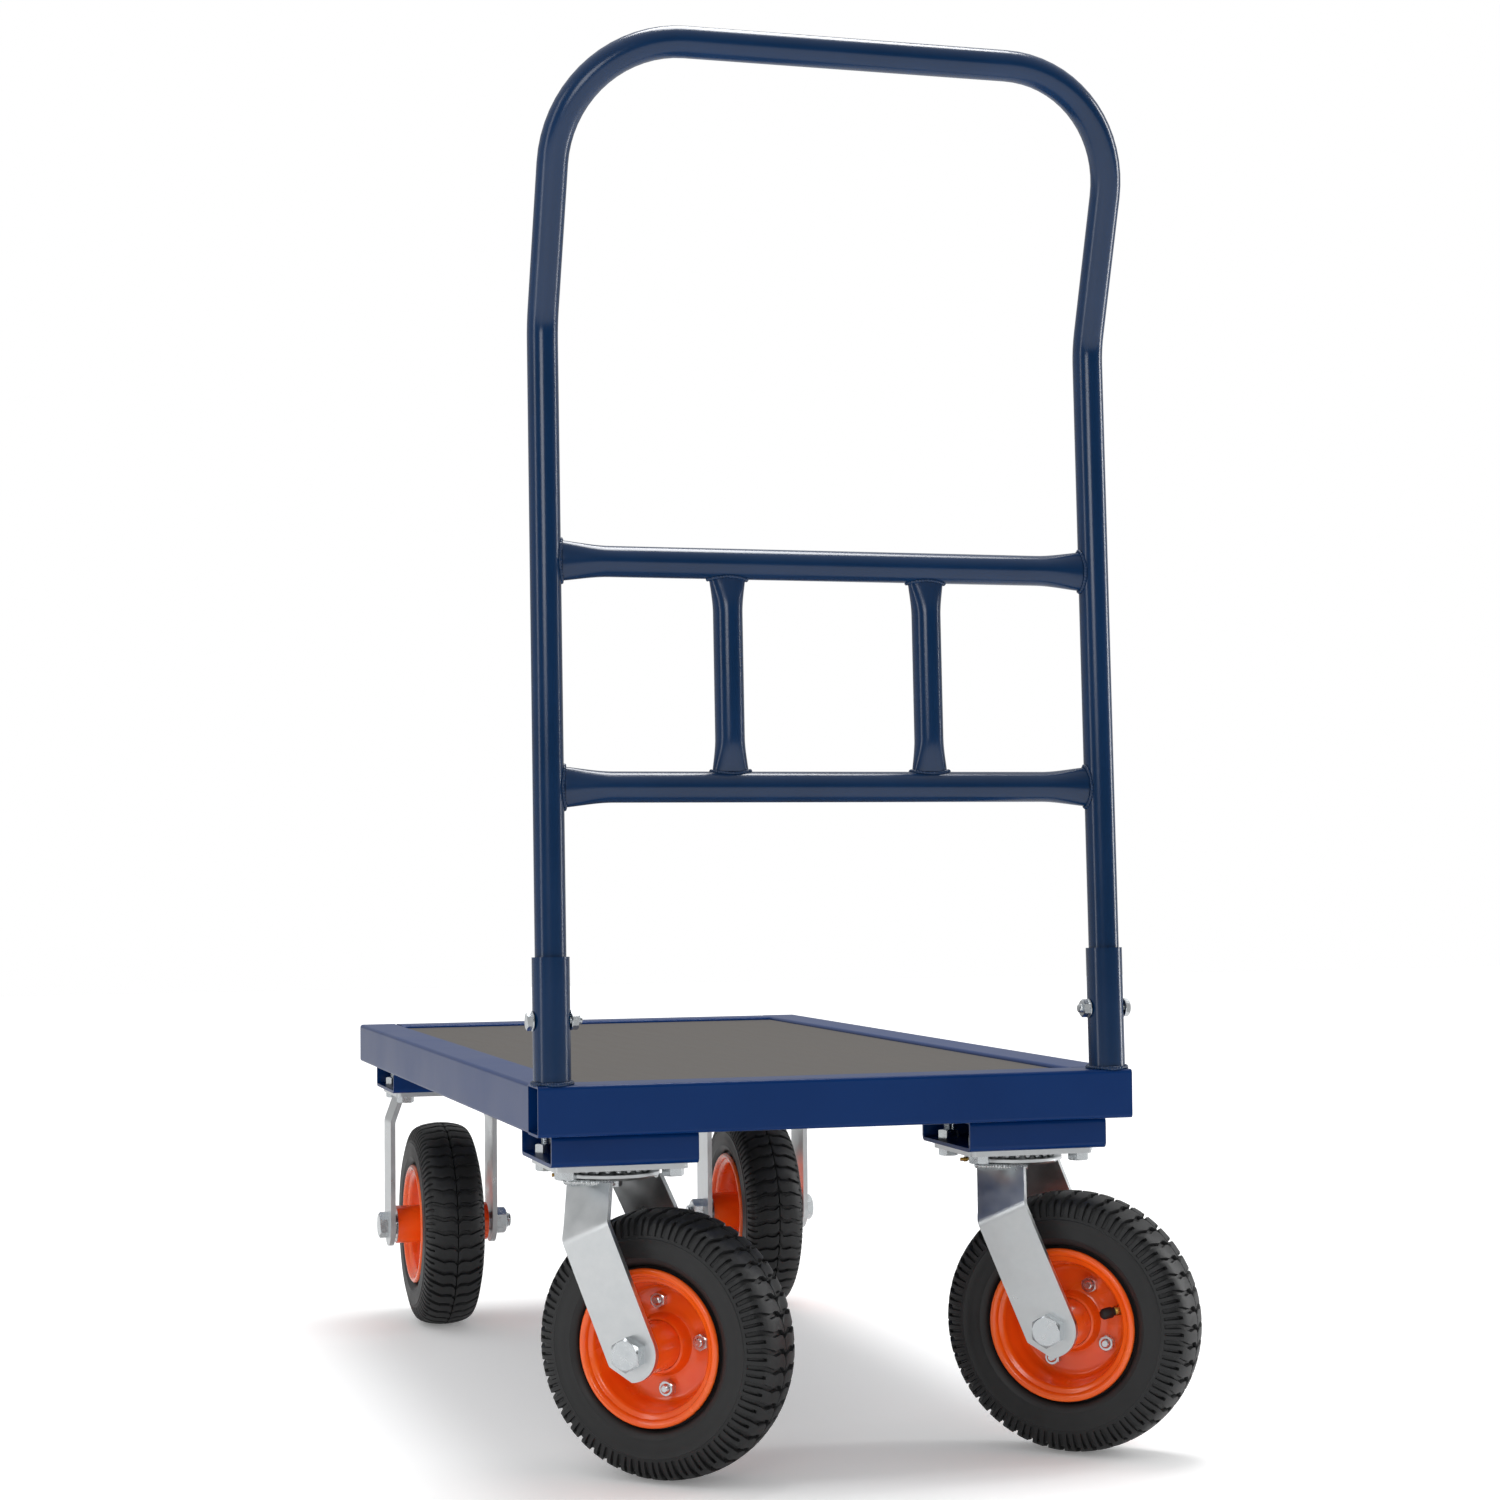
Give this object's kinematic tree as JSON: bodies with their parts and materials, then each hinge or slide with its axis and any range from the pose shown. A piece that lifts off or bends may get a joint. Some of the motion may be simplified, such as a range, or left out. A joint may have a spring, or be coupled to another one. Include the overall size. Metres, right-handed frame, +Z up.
{
  "type": "platform truck",
  "caption": "Flatbed platform truck: welded tube deck with an inset board, a bent push handle at one end, swivel and fixed casters on air-filled wheels.",
  "frame": {"origin": "on the floor, under the middle of the deck", "axes": "+Z up, +Y along the deck away from the handle, +X to the right when pushing"},
  "size_m": [0.564, 1.036, 1.1505],
  "materials": {
    "blue_powder_coat": "satin powder coat",
    "blue_powder_coat_handle": "satin powder coat",
    "phenolic_board": "film-faced, satin",
    "zinc_plate": "bright zinc plated",
    "zinc_fastener": "bright zinc plated",
    "bearing_steel": "ground and polished",
    "brass": "turned",
    "orange_enamel": "gloss enamel",
    "tyre_rubber": "moulded rubber",
    "tube_rubber": "moulded rubber"
  },
  "bodies": {
    "frame": {"near_cross_rail": "blue_powder_coat", "far_cross_rail": "blue_powder_coat", "left_side_rail": "blue_powder_coat", "right_side_rail": "blue_powder_coat", "deck_board": "phenolic_board", "deck_bearers": "blue_powder_coat", "front_left_caster_box": "blue_powder_coat", "front_right_caster_box": "blue_powder_coat", "rear_left_caster_box": "blue_powder_coat", "rear_right_caster_box": "blue_powder_coat", "handle_sockets": "blue_powder_coat_handle", "handle_hoop": "blue_powder_coat_handle", "lower_crossbar": "blue_powder_coat_handle", "upper_crossbar": "blue_powder_coat_handle", "lattice_struts": "blue_powder_coat_handle", "socket_bolts": "zinc_fastener", "plate_bolts": "zinc_fastener", "front_left_top_plate": "zinc_plate", "front_right_top_plate": "zinc_plate", "king_pins": "zinc_fastener", "rear_caster_plates": "zinc_plate", "rear_caster_legs": "zinc_plate", "rear_axle_bolts": "zinc_fastener", "rear_axle_spacers": "zinc_fastener"},
    "front_left_fork": {"front_left_turntable": "zinc_plate", "front_left_swivel_balls": "bearing_steel", "front_left_grease_nipple": "brass", "front_left_fork_legs": "zinc_plate", "front_left_axle_bolt": "zinc_fastener", "front_left_axle_spacers": "zinc_fastener"},
    "front_right_fork": {"front_right_turntable": "zinc_plate", "front_right_swivel_balls": "bearing_steel", "front_right_grease_nipple": "brass", "front_right_fork_legs": "zinc_plate", "front_right_axle_bolt": "zinc_fastener", "front_right_axle_spacers": "zinc_fastener"},
    "front_left_wheel": {"front_left_tyre": "tyre_rubber", "front_left_inner_tube": "tube_rubber", "front_left_rim_halves": "orange_enamel", "front_left_hub": "orange_enamel", "front_left_bearings": "bearing_steel", "front_left_rim_bolts": "zinc_fastener"},
    "front_right_wheel": {"front_right_tyre": "tyre_rubber", "front_right_inner_tube": "tube_rubber", "front_right_rim_halves": "orange_enamel", "front_right_hub": "orange_enamel", "front_right_bearings": "bearing_steel", "front_right_rim_bolts": "zinc_fastener"},
    "rear_left_wheel": {"rear_left_tyre": "tyre_rubber", "rear_left_inner_tube": "tube_rubber", "rear_left_rim_halves": "orange_enamel", "rear_left_hub": "orange_enamel", "rear_left_bearings": "bearing_steel", "rear_left_rim_bolts": "zinc_fastener"},
    "rear_right_wheel": {"rear_right_tyre": "tyre_rubber", "rear_right_inner_tube": "tube_rubber", "rear_right_rim_halves": "orange_enamel", "rear_right_hub": "orange_enamel", "rear_right_bearings": "bearing_steel", "rear_right_rim_bolts": "zinc_fastener"}
  },
  "joints": [
    {"name": "front_left_swivel", "type": "hinge", "parent": "frame", "child": "front_left_fork", "pos_m": [-0.175, -0.4, 0.245], "axis": [0, 0, 1], "continuous": true},
    {"name": "front_left_roll", "type": "hinge", "parent": "front_left_fork", "child": "front_left_wheel", "pos_m": [-0.13728, -0.43579, 0.1075], "axis": [0.6884, 0.7254, 0], "continuous": true},
    {"name": "front_right_swivel", "type": "hinge", "parent": "frame", "child": "front_right_fork", "pos_m": [0.175, -0.4, 0.245], "axis": [0, 0, 1], "continuous": true},
    {"name": "front_right_roll", "type": "hinge", "parent": "front_right_fork", "child": "front_right_wheel", "pos_m": [0.21364, -0.43479, 0.1075], "axis": [0.6691, 0.7431, 0], "continuous": true},
    {"name": "rear_left_roll", "type": "hinge", "parent": "frame", "child": "rear_left_wheel", "pos_m": [-0.175, 0.4, 0.1075], "axis": [1, 0, 0], "continuous": true},
    {"name": "rear_right_roll", "type": "hinge", "parent": "frame", "child": "rear_right_wheel", "pos_m": [0.175, 0.4, 0.1075], "axis": [1, 0, 0], "continuous": true}
  ]
}
